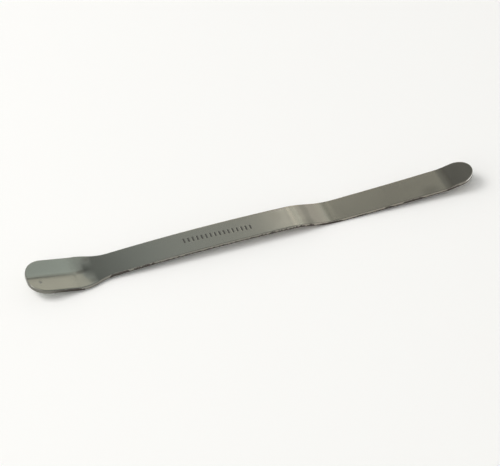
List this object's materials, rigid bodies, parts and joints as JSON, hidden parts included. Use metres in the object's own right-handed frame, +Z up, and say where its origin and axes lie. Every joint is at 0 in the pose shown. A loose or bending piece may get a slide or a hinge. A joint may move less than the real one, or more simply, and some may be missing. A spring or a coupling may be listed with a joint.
{
  "type": "lab spatula",
  "caption": "One-piece pressed steel lab spatula with a shallow trough-shaped spoon, an arched flat handle, a step and a flat blade with a round upturned tip.",
  "frame": {"origin": "on the table the spatula rests on, halfway between its two ends and on its middle plane", "axes": "+X along the strip from the spoon to the blade, +Y across it, +Z up"},
  "size_m": [0.1504, 0.0142, 0.0056],
  "materials": {
    "steel": "satin stainless sheet, a little worn, with darker sheared edges"
  },
  "bodies": {
    "root": {"spatula": "steel"}
  },
  "joints": []
}
